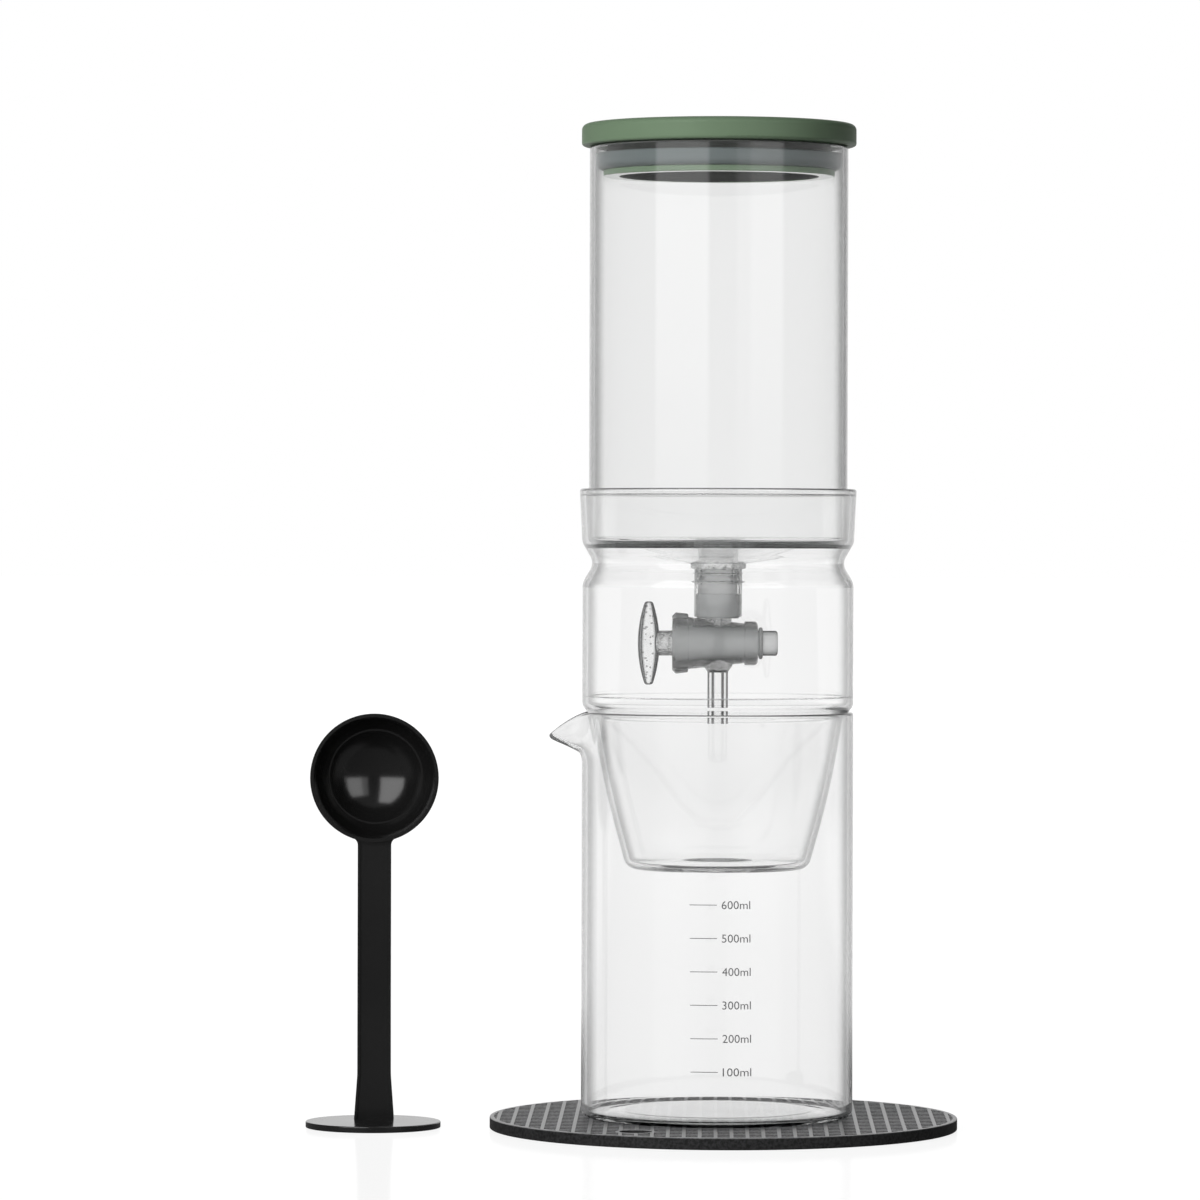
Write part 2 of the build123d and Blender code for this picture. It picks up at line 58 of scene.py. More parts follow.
RIM_SHARE = 0.48           # fire-polished rim: its round, as a share of the wall
BEND_SHARE = 0.33          # least round on the inside of a bend, as a share of the wall
GROUND_TOP = 205.79        # top of the ground zone in the jar's socket
SOCKET_INSIDE = 8.5        # between that zone and the socket's outside
BEAD_LOW = 211.0           # the stretch round the bead that was fused by hand
BEAD_HIGH = 219.0
BEAD_REACH = 12.0
KEY_HEIGHT = 186.8         # of the axis that the stopcock's key turns about
JOINT_TAPER = 0.05         # radius lost per millimetre of a ground joint

# ---- Profiles
ARC_STEP = 7.5             # degrees between the points of a round
SUPPORT = 0.15             # a straight stretch gets a point this far from each end
STRAIGHT = 1e-4            # a turn of fewer radians is none
ON_AXIS = 1e-6             # a point this close to the axis lies on it


def turned_by(spoke, angle):
    """A flat vector, turned by an angle."""
    sine, cosine = math.sin(angle), math.cos(angle)
    return Vector((spoke.x * cosine - spoke.y * sine, spoke.x * sine + spoke.y * cosine))


def corner_points(place, before, after, corner):
    """The points of the round at place, where a run turns from one direction to another."""
    turn = math.atan2(before.x * after.y - before.y * after.x, before.dot(after))
    if abs(turn) < STRAIGHT:
        return [place]
    start = place - before * (corner * math.tan(abs(turn) / 2))
    side = Vector((-before.y, before.x)) * math.copysign(1, turn)
    centre = start + side * corner
    steps = max(3, math.ceil(math.degrees(abs(turn)) / ARC_STEP))
    return [centre + turned_by(start - centre, turn * k / steps) for k in range(steps + 1)]


def support_points(end, start):
    """A point close to each end of the straight stretch between two rounds, if there is room."""
    run = start - end
    if run.length <= 4 * SUPPORT:
        return []
    step = run.normalized() * SUPPORT
    return [end + step, start - step]


def rounded(rows, closed=True):
    """Points along the polyline through rows of (radius, height, corner round).

    The support points keep smooth shading true on the straight stretches."""
    places = [Vector((radius, height)) for radius, height, _ in rows]
    last = len(rows) - 1
    arcs = []
    for i, (place, row) in enumerate(zip(places, rows)):
        if row[2] <= 0 or (not closed and i in (0, last)):
            arcs.append([place])
            continue
        before = (place - places[i - 1]).normalized()
        after = (places[(i + 1) % len(places)] - place).normalized()
        arcs.append(corner_points(place, before, after, row[2]))
    points = []
    for i, arc in enumerate(arcs):
        points += arc
        if closed or i < last:
            points += support_points(arc[-1], arcs[(i + 1) % len(arcs)][0])
    return points


def blown_rows(rows, wall):
    """The closed outline of a glass vessel of one wall, from the rows of its outside."""
    places = [Vector((radius, height)) for radius, height, _ in rows]
    runs = [(b - a).normalized() for a, b in zip(places, places[1:])]
    runs = [runs[0]] + runs + [runs[-1]]
    inside = []
    for place, (_, _, corner), before, after in zip(places, rows, runs, runs[1:]):
        turn = before.x * after.y - before.y * after.x
        inward = Vector((-before.y - after.y, before.x + after.x))
        place = place + inward * (wall / (1 + before.dot(after)))
        if turn > 0:
            corner = max(corner - wall, BEND_SHARE * wall)
        elif turn < 0:
            corner += wall
        inside.append((place.x, place.y, corner))
    return rows + inside[::-1]


def raised_rows(base, rows):
    """Rows whose heights are given above a base."""
    return [(radius, base + height, corner) for radius, height, corner in rows]


# ---- Meshes
def even_angles(count):
    """Angles about an axis, evenly spread over a turn."""
    return [2 * math.pi * i / count for i in range(count)]


def join_rings(mesh, low, high):
    """Faces between two rings of points. A ring on the axis is a single point."""
    count = max(len(low), len(high))
    if count == 1:
        return
    for i in range(count):
        j = (i + 1) % count
        if len(low) == 1:
            corners = (low[0], high[j], high[i])
        elif len(high) == 1:
            corners = (low[i], low[j], high[0])
        else:
            corners = (low[i], low[j], high[j], high[i])
        mesh.faces.new(corners)


def lathe(name, points, angles, warp=None):
    """A smooth mesh: a closed profile, turned about the vertical axis.

    warp, if given, gets the place of each point and its angle, and gives back where it lies."""
    mesh = bmesh.new()
    rings = []
    for point in points:
        if point.x < ON_AXIS:
            rings.append([mesh.verts.new((0, 0, point.y))])
            continue
        ring = []
        for angle in angles:
            place = Vector((point.x * math.cos(angle), point.x * math.sin(angle), point.y))
            ring.append(mesh.verts.new(warp(place, angle) if warp else place))
        rings.append(ring)
    for low, high in zip(rings, rings[1:] + rings[:1]):
        join_rings(mesh, low, high)
    return piece(name, mesh)


def piece(name, mesh, smooth=True):
    """A scene object from a bmesh whose coordinates are in millimetres."""
    bmesh.ops.recalc_face_normals(mesh, faces=mesh.faces)
    for vert in mesh.verts:
        vert.co *= MM
    for face in mesh.faces:
        face.smooth = smooth
    data = bpy.data.meshes.new(name)
    mesh.to_mesh(data)
    mesh.free()
    made = bpy.data.objects.new(name, data)
    scene.collection.objects.link(made)
    return made


def dress(made, finish, body, replaces=None):
    """Gives a new piece its material and its body, and hides the CAD part that it replaces, if any."""
    made.data.materials.clear()
    made.data.materials.append(finish)
    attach(made, body)
    if replaces:
        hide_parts(replaces)


# ---- Shader nodes
def grey(level):
    """An opaque grey."""
    return (level, level, level, 1)


def add(tree, kind, sockets=None, **settings):
    """A node with its settings, and its inputs linked or set."""
    node = tree.nodes.new("ShaderNode" + kind)
    for key, value in settings.items():
        setattr(node, key, value)
    for key, value in (sockets or {}).items():
        if isinstance(value, bpy.types.NodeSocket):
            tree.links.new(value, node.inputs[key])
        else:
            node.inputs[key].default_value = value
    return node


def maths(tree, operation, *values, clamp=False):
    node = add(tree, "Math", dict(enumerate(values)), operation=operation, use_clamp=clamp)
    return node.outputs[0]


def product(tree, first, *others):
    for other in others:
        first = maths(tree, "MULTIPLY", first, other)
    return first


def step_up(tree, value, low, high, start=0.0, end=1.0):
    """Smooth change from start to end while value goes from low to high."""
    node = add(tree, "MapRange", {"Value": value, "From Min": low, "From Max": high,
                                  "To Min": start, "To Max": end}, interpolation_type="SMOOTHSTEP")
    return node.outputs["Result"]


def above(tree, value, limit):
    """1 where a coordinate is above a limit in millimetres."""
    return maths(tree, "GREATER_THAN", value, limit * MM)


def below(tree, value, limit):
    """1 where a coordinate is below a limit in millimetres."""
    return maths(tree, "LESS_THAN", value, limit * MM)


def between(tree, value, low, high):
    """1 where a coordinate lies between two limits in millimetres."""
    return product(tree, above(tree, value, low), below(tree, value, high))


def band(tree, value, start, full, fade, end):
    """1 between the places full and fade, in millimetres, and 0 before start and past end."""
    return product(tree, step_up(tree, value, start * MM, full * MM),
                   step_up(tree, value, fade * MM, end * MM, 1.0, 0.0))


def blend_colour(tree, factor, first, second):
    """A colour between two. The node's sockets for colours are 6 and 7, and it gives out 2."""
    return add(tree, "Mix", {0: factor, 6: first, 7: second}, data_type="RGBA").outputs[2]


def new_material(name):
    made = bpy.data.materials.new(name)
    made.use_nodes = True
    made.node_tree.nodes.clear()
    return made, made.node_tree


def object_place(tree):
    return add(tree, "TexCoord").outputs["Object"]


def split(tree, vector):
    """The X, Y and Z of a vector."""
    return add(tree, "SeparateXYZ", {0: vector}).outputs


def axis_distance(tree, one, other):
    """Distance from an axis, from the two coordinates that cross it."""
    squares = maths(tree, "ADD", product(tree, one, one), product(tree, other, other))
    return maths(tree, "SQRT", squares)


def noise(tree, scale, detail=3.0, roughness=0.5):
    node = add(tree, "TexNoise", {"Vector": object_place(tree), "Scale": scale,
                                  "Detail": detail, "Roughness": roughness})
    return node.outputs["Fac"]


def bump_normal(tree, height, strength, distance):
    """The surface's direction with a relief, whose full height is distance in millimetres."""
    sockets = {"Strength": strength, "Distance": distance * MM, "Height": height}
    return add(tree, "Bump", sockets).outputs[0]


# ---- Glass finishes
GLASS_IOR = 1.47
GLASS_SHADOW = (0.93, 0.94, 0.94, 1)
GLASS_ABSORBS = (0.93, 0.932, 0.931, 1)
# Painted shade: glass takes this near-black colour towards grazing angles, in place of the dark studio
# that it would bend in.
DARK_STUDIO = (0.02, 0.02, 0.021, 1)
# Where glass takes that painted shade: the range of Layer Weight outside, the one inside, and how dark
# it gets.
CLEAR_EDGES = ((0.58, 0.85), (0.24, 0.5), 0.6)
WORKED_EDGES = ((0.44, 0.66), (0.3, 0.42), 0.95)
LIP_FACING = (0.08, 0.35)  # range of Layer Weight over which a lip takes painted shade
LIP_RISE = (0.3, 0.6)      # and range of the upward share of its direction
LIP_DEPTH = 0.85
# Scales of the noise in glass.
WAVE_SCALE = 28.0          # faint waves from blowing
TINT_SCALE = 9.0
GRIND_SCALE = 2600.0       # grain of ground glass
FROST_SCALE = 220.0        # its lighter and darker patches
WRINKLE_SCALE = 800.0      # wrinkles of glass that was fused


def rim_edges(tree, edge, facing, normal, rim, fade):
    """Painted shade that fades out where glass lies flat, and that sets in along the lip.

    The lip starts at the height rim. fade holds a range of the upward share of the surface's
    direction, over which the darkening fades out, and the height below which it does."""
    rise = maths(tree, "ABSOLUTE", split(tree, normal)["Z"])
    height = split(tree, object_place(tree))["Z"]
    low, high, top = fade
    upright = maths(tree, "MAXIMUM", step_up(tree, rise, low, high, 1.0, 0.0),
                    above(tree, height, top))
    lip = product(tree, step_up(tree, facing, *LIP_FACING), step_up(tree, rise, *LIP_RISE),
                  above(tree, height, rim), LIP_DEPTH)
    return maths(tree, "MAXIMUM", product(tree, edge, upright), lip)


def glass_surface(tree, edges, roughness, tint, normal, rim=None, fade=None, haze=None, early=None):
    """Glass with a painted shade towards grazing angles, where it bends in light from a dark studio.

    edges is as in CLEAR_EDGES, and rim and fade are as in rim_edges. haze is the share of light
    that ground glass scatters, and early is how much sooner the darkening starts."""
    outer, inner, depth = edges
    weight = add(tree, "LayerWeight", {"Blend": 0.5})
    facing = weight.outputs["Facing"]
    if early:
        facing = maths(tree, "ADD", facing, early)
    geometry = add(tree, "NewGeometry").outputs
    within = geometry["Backfacing"]
    outside = product(tree, step_up(tree, facing, *outer), maths(tree, "SUBTRACT", 1.0, within))
    inside = product(tree, step_up(tree, facing, *inner), within)
    edge = product(tree, maths(tree, "ADD", outside, inside), depth)
    if rim:
        edge = rim_edges(tree, edge, facing, geometry["Normal"], rim, fade)
    through = maths(tree, "SUBTRACT", 1.0, edge)
    if haze:
        tree.links.new(normal, weight.inputs["Normal"])
        through = product(tree, through, maths(tree, "SUBTRACT", 1.0, haze))
    # Painted shade: towards grazing angles the colour turns to DARK_STUDIO and less light goes through.
    colour = blend_colour(tree, edge, tint, DARK_STUDIO)
    return add(tree, "BsdfPrincipled", {
        "Base Color": colour, "Roughness": roughness, "IOR": GLASS_IOR,
        "Transmission Weight": through, "Normal": normal}).outputs[0]


def finish_glass(tree, surface, density):
    """Lets light through to what stands behind the glass, and tints what crosses its thickness."""
    clear = add(tree, "BsdfTransparent", {"Color": GLASS_SHADOW}).outputs[0]
    shadow = add(tree, "LightPath").outputs["Is Shadow Ray"]
    mixed = add(tree, "MixShader", {0: shadow, 1: surface, 2: clear}).outputs[0]
    volume = add(tree, "VolumeAbsorption", {"Color": GLASS_ABSORBS, "Density": density}).outputs[0]
    add(tree, "OutputMaterial", {"Surface": mixed, "Volume": volume})


def socket_zones(tree):
    """The ground bore of the joint under the jar, and the relief of that bore and of the bead."""
    axes = split(tree, object_place(tree))
    around = axis_distance(tree, axes["X"], axes["Y"])
    ground = product(tree, below(tree, axes["Z"], GROUND_TOP), below(tree, around, SOCKET_INSIDE))
    bead = product(tree, band(tree, axes["Z"], BEAD_LOW, BEAD_LOW + 2.0, BEAD_HIGH - 1.4, BEAD_HIGH),
                   below(tree, around, BEAD_REACH + 0.5))
    grain = product(tree, noise(tree, GRIND_SCALE, detail=2.0), ground, 0.25)
    wrinkle = product(tree, noise(tree, WRINKLE_SCALE, detail=2.0), bead, 5.0)
    return ground, maths(tree, "ADD", grain, wrinkle)


def clear_glass(name, density, rim, fade, greys, socket=False):
    """Clear borosilicate glass: faint waves from blowing, and a trace of absorption.

    rim and fade are as in rim_edges, and the tint drifts between two greys. With a socket, the
    joint under the jar has a ground bore and an uneven bead."""
    made, tree = new_material(name)
    relief = product(tree, noise(tree, WAVE_SCALE, detail=1.0), 0.14)
    tint = blend_colour(tree, noise(tree, TINT_SCALE), *[grey(level) for level in greys])
    roughness, haze = 0.0, None
    if socket:
        ground, fused = socket_zones(tree)
        relief = maths(tree, "ADD", relief, fused)
        roughness = product(tree, ground, 0.6)
        haze = product(tree, ground, 0.15)
    bump = bump_normal(tree, relief, strength=0.3, distance=1.0)
    surface = glass_surface(tree, CLEAR_EDGES, roughness, tint, bump, rim, fade, haze)
    finish_glass(tree, surface, density)
    return made


def worked_glass(name, ground, crackle, early, density, greys, bubbles=None):
    """Clear glass that was ground and fused by hand.

    ground, crackle, early and bubbles make values from the tree and the coordinates: 1 where the
    glass is ground, 1 where it is wrinkled, how much sooner its painted edge shade sets in, and 1
    at specks. The ground zones drift between two greys."""
    made, tree = new_material(name)
    axes = split(tree, object_place(tree))
    zone = ground(tree, axes)
    grain = product(tree, noise(tree, GRIND_SCALE, detail=2.0), zone, 0.14)
    creases = noise(tree, WRINKLE_SCALE, detail=2.0, roughness=0.6)
    wrinkle = product(tree, creases, crackle(tree, axes), 3.2)
    bump = bump_normal(tree, maths(tree, "ADD", grain, wrinkle), strength=1.0, distance=0.5)
    frost = blend_colour(tree, noise(tree, FROST_SCALE), *[grey(level) for level in greys])
    tint = blend_colour(tree, zone, grey(0.985), frost)
    if bubbles:
        tint = blend_colour(tree, bubbles(tree, axes), tint, grey(0.1))
    surface = glass_surface(tree, WORKED_EDGES, product(tree, zone, 0.55), tint, bump,
                            haze=product(tree, zone, 0.16), early=early(tree, axes))
    finish_glass(tree, surface, density)
    return made


# ---- Stopcock
BORE_RADIUS = 6.4          # just outside the barrel's bore, on the tower's axis
CONE_FOOT = 196.6          # the cone's ground outside starts here
CONE_INSIDE = 6.8          # between the cone's hollow and its outside
TUBE_TOP = 176.5           # the drip tube meets the barrel here
FUSED_NECK = (193.0, 194.0, 196.4, 196.8)    # wrinkled bands up the stopcock's body
FUSED_TUBE = (175.5, 176.5, 179.6, 180.6)
FUSED_REACH = (8.0, 10.0)  # and where they end to each side
GRIP_SIDE = -23.5          # the key's grip lies beyond this along X
PLUG_LEFT = -17.25         # its ground plug starts here
PLUG_RIGHT = 24.0          # and ends here, where its stub starts
BUBBLE_STRIP = (-29.0, -25.5)
BUBBLE_SCALE = 650.0
BUBBLE_SHARE = 0.4         # of the cells hold a bubble


def body_ground(tree, axes):
    """The stopcock's ground zones: the bore of its barrel and the outside of its cone."""
    bore = maths(tree, "SUBTRACT", BORE_RADIUS * MM, product(tree, axes["X"], JOINT_TAPER))
    rise = maths(tree, "SUBTRACT", axes["Z"], KEY_HEIGHT * MM)
    in_bore = maths(tree, "LESS_THAN", axis_distance(tree, rise, axes["Y"]), bore)
    around = axis_distance(tree, axes["X"], axes["Y"])
    on_cone = product(tree, above(tree, axes["Z"], CONE_FOOT), above(tree, around, CONE_INSIDE))
    return maths(tree, "MAXIMUM", in_bore, on_cone)


def body_crackle(tree, axes):
    """Uneven glass where the neck and the drip tube are joined to the barrel."""
    neck = band(tree, axes["Z"], *FUSED_NECK)
    root = band(tree, axes["Z"], *FUSED_TUBE)
    inner, outer = FUSED_REACH
    aside = maths(tree, "ABSOLUTE", axes["X"])
    near = step_up(tree, aside, inner * MM, outer * MM, 1.0, 0.0)
    return product(tree, maths(tree, "MAXIMUM", neck, root), near)


def body_early(tree, axes):
    """The drip tube's wall takes its painted edge shade sooner, and the barrel's later."""
    return step_up(tree, axes["Z"], TUBE_TOP * MM, (TUBE_TOP + 0.4) * MM, 0.12, -0.25)


def key_ground(tree, axes):
    """The key's ground plug, which ends where its stub starts."""
    return between(tree, axes["X"], PLUG_LEFT, PLUG_RIGHT)


def key_crackle(tree, axes):
    """Uneven glass in the stem between the grip and the plug."""
    return between(tree, axes["X"], GRIP_SIDE, PLUG_LEFT)


def key_early(tree, axes):
    """The grip's rim takes its painted edge shade sooner than the rest of the key."""
    return product(tree, below(tree, axes["X"], GRIP_SIDE), 0.26)


def key_bubbles(tree, axes):
    """Small bubbles along the middle of the grip."""
    place = object_place(tree)
    cells = add(tree, "TexVoronoi", {"Vector": place, "Scale": BUBBLE_SCALE}).outputs
    chosen = maths(tree, "LESS_THAN", split(tree, cells["Color"])["X"], BUBBLE_SHARE)
    strip = between(tree, axes["X"], *BUBBLE_STRIP)
    return product(tree, step_up(tree, cells["Distance"], 0.2, 0.32, 0.9, 0.0), chosen, strip)


# ---- Plastic and rubber finishes
DRIFT_SCALE = 30.0
GLOSS_DRIFT = 0.08         # share by which the roughness drifts to each side
SHADED = 0.06              # share of its colour that plastic keeps in its painted shade, where hardly any light gets in
POLISHED = 0.08            # roughness of a glossy underside


def opaque(tree, colour, roughness, normal=None, specular=0.5):
    """Ends a material with an opaque surface."""
    sockets = {"Base Color": colour, "Roughness": roughness, "Specular IOR Level": specular}
    if normal:
        sockets["Normal"] = normal
    shader = add(tree, "BsdfPrincipled", sockets)
    add(tree, "OutputMaterial", {"Surface": shader.outputs[0]})


def moulded(name, dark, light, roughness, grain, depth, specular=0.5, shade=None, polish=None):
    """Moulded plastic or rubber: fine grain, and a slight drift of colour and gloss.

    grain and depth are the scale and the height of the grain. shade and polish, if given, make
    values that are 1 where hardly any light gets in, so that the colour takes a painted shade
    there, and 1 where the surface is glossy."""
    made, tree = new_material(name)
    relief = noise(tree, grain, detail=4.0, roughness=0.6)
    drift = noise(tree, DRIFT_SCALE, detail=2.0)
    colour = blend_colour(tree, drift, dark, light)
    low, high = roughness * (1 - GLOSS_DRIFT), roughness * (1 + GLOSS_DRIFT)
    gloss = step_up(tree, drift, 0.3, 0.7, low, high)
    if shade:
        axes = split(tree, object_place(tree))
        # Painted shade: the colour darkens to a small share of itself where hardly any light gets in.
        painted_shade_colour = [SHADED * value for value in dark[:3]] + [1]
        colour = blend_colour(tree, shade(tree, axes), colour, painted_shade_colour)
        matt = maths(tree, "SUBTRACT", 1.0, polish(tree, axes))
        gloss = maths(tree, "MAXIMUM", product(tree, gloss, matt), POLISHED)
        relief = product(tree, relief, matt)
    opaque(tree, colour, gloss, bump_normal(tree, relief, strength=0.6, distance=depth), specular)
    return made


NECK_LOW, NECK_HIGH = 374.7, 377.89     # heights of the plug's neck, under the lid's cap
NECK_REACH = 43.2
CAVITY_REACH, CAVITY_TOP = 38.35, 385.0
PLUG_FLANGE = 366.25       # the flange's underside lies below this


def lid_shade(tree, axes):
    """Where the lid gets painted shade: the plug's neck and the cavity under the lid, which hardly any
    light reaches.
    """
    around = axis_distance(tree, axes["X"], axes["Y"])
    neck = product(tree, between(tree, axes["Z"], NECK_LOW, NECK_HIGH), below(tree, around, NECK_REACH))
    cavity = product(tree, below(tree, around, CAVITY_REACH), below(tree, axes["Z"], CAVITY_TOP))
    return maths(tree, "MAXIMUM", neck, cavity)


def lid_polish(tree, axes):
    """The smooth underside of the lid's plug."""
    return below(tree, axes["Z"], PLUG_FLANGE)


# ---- Carafe
FOOT_ROUND = 3.2
FOOT_WIDTH = 6.0           # flat ring that the carafe stands on
PUNT = 0.7                 # the middle of the underside is raised by this
PUNT_RUN = 6.0             # the slope between that ring and the raised middle
PUNT_ROUND = 12.0
SPOUT_START = 139.0        # the wall below this height is left as it was blown
SPOUT_HALF = 22.0          # half width of the stretch of wall that was drawn into the spout
SPOUT_SIDE = -40.0         # and that stretch lies beyond this along X
SPOUT_NOSE = 0.03          # roundness of the pull across the spout's middle
SPOUT_CLING = 1.3          # the spout's flanks sink less than they are pulled out, by this power
# The spout's underside in its middle: where a height on the plain wall goes, as (height before,
# way out, height after).
SPOUT_PATH = [(139.0, 0.0, 139.0), (142.0, 0.12, 141.9), (144.7, 0.95, 144.3), (147.4, 3.05, 145.7),
              (150.0, 5.3, 146.8), (152.7, 7.5, 147.8), (155.5, 9.75, 148.75), (158.2, 11.9, 149.9),
              (160.4, 12.9, 151.4)]
FINE_STEP = math.radians(0.35)    # between the mesh's meridians, across the spout
FINE_STEPS = 75                   # to each side of the spout's middle
PLAIN_STEPS = 240                 # round the rest of the carafe
ROW_STEP = 0.55                   # between the mesh's rows, in the wall that the spout is drawn from


def spline_at(table, value):
    """Smooth interpolation through rows of (value, a, b), with slopes taken from the neighbours."""
    value = min(max(value, table[0][0]), table[-1][0])
    i = max(k for k in range(len(table) - 1) if table[k][0] <= value)
    low, high = table[i], table[i + 1]
    back, ahead = table[max(i - 1, 0)], table[min(i + 2, len(table) - 1)]
    span = high[0] - low[0]
    t = (value - low[0]) / span
    rise = 3 * t ** 2 - 2 * t ** 3
    result = []
    for column in (1, 2):
        slope_low = (high[column] - back[column]) / (high[0] - back[0]) * span
        slope_high = (ahead[column] - low[column]) / (ahead[0] - low[0]) * span
        bend = (t ** 3 - 2 * t ** 2 + t) * slope_low + (t ** 3 - t ** 2) * slope_high
        result.append((1 - rise) * low[column] + rise * high[column] + bend)
    return result


def spout_pull(across):
    """Share of the full pull for a place this far from the spout's middle plane."""
    far = min(abs(across) / SPOUT_HALF, 1.0)
    blunt = math.sqrt(SPOUT_NOSE)
    flank = (math.sqrt(far * far + SPOUT_NOSE) - blunt) / (math.sqrt(1 + SPOUT_NOSE) - blunt)
    return (1 - flank) ** 2


def drawn_wall(angle, height):
    """The carafe's outer face with its spout, at an angle and at a height before drawing."""
    x, y = CARAFE_RADIUS * math.cos(angle), CARAFE_RADIUS * math.sin(angle)
    if x > 0 or height <= SPOUT_START:
        return Vector((x, y, height))
    out, after = spline_at(SPOUT_PATH, height)
    pull = spout_pull(y)
    return Vector((x - pull * out, y, height - (height - after) * pull ** SPOUT_CLING))


def draw_spout(place, angle):
    """Moves a point of the plain carafe to where it lies once the spout is drawn."""
    if place.z <= SPOUT_START or place.x > SPOUT_SIDE:
        return place
    depth = CARAFE_RADIUS - math.hypot(place.x, place.y)
    nudge = 0.02
    turn = nudge / CARAFE_RADIUS
    around = drawn_wall(angle + turn, place.z) - drawn_wall(angle - turn, place.z)
    up = drawn_wall(angle, place.z + nudge) - drawn_wall(angle, place.z - nudge)
    return drawn_wall(angle, place.z) - around.cross(up).normalized() * depth


def spout_angles():
    """Angles about the axis, close together across the spout."""
    fine = [math.pi + FINE_STEP * i for i in range(-FINE_STEPS, FINE_STEPS + 1)]
    rest = fine[0] + 2 * math.pi - fine[-1]
    return fine + [fine[-1] + rest * i / PLAIN_STEPS for i in range(1, PLAIN_STEPS)]


def with_spout_rows(outline):
    """The outline with more points in its two long walls, where the spout is drawn."""
    dense = []
    for a, b in zip(outline, outline[1:]):
        dense.append(a)
        if abs(b.y - a.y) < CARAFE_RIM / 2:
            continue
        top = max(a.y, b.y) - SUPPORT
        rows = math.ceil((top - SPOUT_START) / ROW_STEP)
        heights = [SPOUT_START + ROW_STEP * i for i in range(1, rows)]
        if b.y < a.y:
            heights.reverse()
        dense += [a + (b - a) * ((height - a.y) / (b.y - a.y)) for height in heights]
    return dense + outline[-1:]


def make_carafe(finish):
    """A straight vessel with a raised middle under its foot and a spout drawn from its rim."""
    foot_inside = CARAFE_RADIUS - FOOT_ROUND - FOOT_WIDTH
    outline = rounded(blown_rows([
        (0, CARAFE_FOOT + PUNT, 0),
        (foot_inside - PUNT_RUN, CARAFE_FOOT + PUNT, PUNT_ROUND),
        (foot_inside, CARAFE_FOOT, PUNT_ROUND),
        (CARAFE_RADIUS, CARAFE_FOOT, FOOT_ROUND),
        (CARAFE_RADIUS, CARAFE_RIM, RIM_SHARE * CARAFE_WALL),
    ], CARAFE_WALL))
    made = lathe("carafe_glass", with_spout_rows(outline), spout_angles(), warp=draw_spout)
    dress(made, finish, "carafe", "carafe")


# ---- Brew chamber and ice jar
VESSEL_STEPS = 320         # meridians of each mesh
RIDGE_ROUND = 0.08
# The bead's unevenness: waves in a turn, their twist per millimetre of height, start and depth.
BEAD_WAVES = [(5, 0.0, 1.3, 0.17), (11, 2.1, 0.4, 0.12), (17, -3.3, 2.0, 0.08)]


def ridge(height, half, upper, crest, lower):
    """Rows down the inside of a wall and over a ridge: the wall's radius, the crest's, the wall's."""
    return [(upper, height + half, RIDGE_ROUND), (crest, height, RIDGE_ROUND),
            (lower, height - half, RIDGE_ROUND)]


def make_chamber(finish):
    """Basket, shoulder, body, waist and collar in one blown piece."""
    outside = raised_rows(CHAMBER_FOOT, [
        (13.1, 1.5, 0.7),             # the outlet, in the domed floor
        (30.0, 0.0, 30.0),
        (35.0, 0.0, 5.0),             # the basket's foot
        (43.4, 30.3, 300.0),          # its knee
        (48.2, 58.03, 3.0),           # its top
        (52.2, 62.8, 4.0),            # the shoulder
        (52.2, 110.2, 6.0),           # the body's top
        (47.75, 117.5, 5.0),          # the waist
        (52.3, 125.5, 5.0),           # the collar's foot
        (53.3, 146.2, RIM_SHARE * CHAMBER_WALL),
    ])
    rows = blown_rows(outside, CHAMBER_WALL)
    inside_rim = len(outside)
    inside_shoulder = inside_rim + 4
    # The fire polish left a fold inside the rim, and the fusing of the basket to the body left a
    # seam above the shoulder.
    fold = ridge(243.75, 0.35, 51.0, 50.5, 50.97)
    seam = ridge(166.4, 0.25, 50.0, 49.7, 50.0)
    rows = (rows[:inside_rim + 1] + fold + rows[inside_rim + 1:inside_shoulder] + seam
            + rows[inside_shoulder:])
    made = lathe("brew_chamber_glass", rounded(rows), even_angles(VESSEL_STEPS))
    dress(made, finish, "brew_chamber", "brew_chamber")


def work_bead(place, angle):
    """Makes the bead and its surroundings as uneven as glass that was fused by hand."""
    around = math.hypot(place.x, place.y)
    if around > BEAD_REACH or not BEAD_LOW < place.z < BEAD_HIGH:
        return place
    share = math.sin(math.pi * (place.z - BEAD_LOW) / (BEAD_HIGH - BEAD_LOW))
    wave = share * sum(depth * math.sin(turns * angle + twist * place.z + start)
                       for turns, twist, start, depth in BEAD_WAVES)
    stretch = 1 + wave / around
    return Vector((place.x * stretch, place.y * stretch, place.z + wave / 2))


def make_jar(finish):
    """A straight vessel with a funnelled floor, a bead and the socket of a ground joint."""
    rim = RIM_SHARE * JAR_WALL
    outline = rounded(raised_rows(JAR_FOOT, [
        (9.2, -26.8, 0.4),            # the socket's mouth
        (9.2, -10.7, 0.55),
        (10.6, -10.15, 1.1),          # the bead
        (10.6, -6.3, 1.1),
        (31.0, 0.0, 8.0),             # the funnel's edge
        (JAR_RADIUS, 0.0, 1.6),       # the foot
        (JAR_RADIUS, JAR_HEIGHT, rim),
        (JAR_RADIUS - JAR_WALL, JAR_HEIGHT, rim),
        (JAR_RADIUS - JAR_WALL, JAR_WALL, 1.8),
        (31.0, JAR_WALL, 8.0),
        (7.0, -5.312, 1.1),           # the outlet
        (7.0, -9.6, 0.55),
        (8.1, -10.7, 0.55),           # the end of the socket's bore
        (8.1, -18.0, 0.1),
        (7.71, -18.05, 0.1),          # its ground zone
        (8.15, -26.8, 0.1),
    ]))
    made = lathe("ice_jar_glass", outline, even_angles(VESSEL_STEPS), warp=work_bead)
    dress(made, finish, "ice_jar", "ice_jar")


